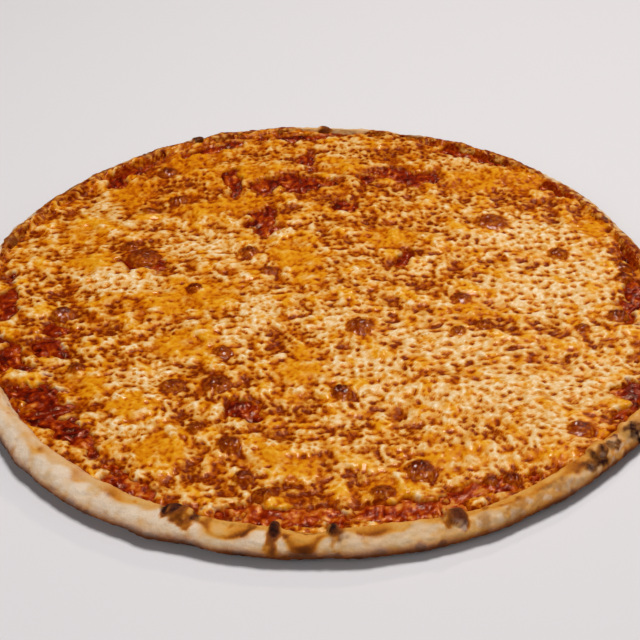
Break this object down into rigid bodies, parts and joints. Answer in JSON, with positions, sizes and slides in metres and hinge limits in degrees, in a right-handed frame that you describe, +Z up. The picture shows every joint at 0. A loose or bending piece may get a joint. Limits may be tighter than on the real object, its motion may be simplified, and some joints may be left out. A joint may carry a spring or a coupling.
{
  "type": "thin crust pizza",
  "caption": "Whole uncut thin crust cheese pizza: stretched dough base with a low puffed rim, red sauce and a browned melted cheese sheet. Prepared food prop.",
  "frame": {"origin": "middle of the flat underside, on the surface the pizza lies on", "axes": "+Z up out of the cheese; +Y away from the side that faces the camera in the picture, +X to that camera's right"},
  "size_m": [0.3011, 0.2974, 0.0135],
  "materials": {
    "crust": "floury baked dough, matte, with toasted and charred spots",
    "tomato_sauce": "baked tomato sauce, moist and glossy",
    "melted_cheese": "browned melted cheese, oily satin"
  },
  "bodies": {
    "root": {"crust": "crust", "tomato_sauce": "tomato_sauce", "melted_cheese": "melted_cheese"}
  },
  "joints": []
}
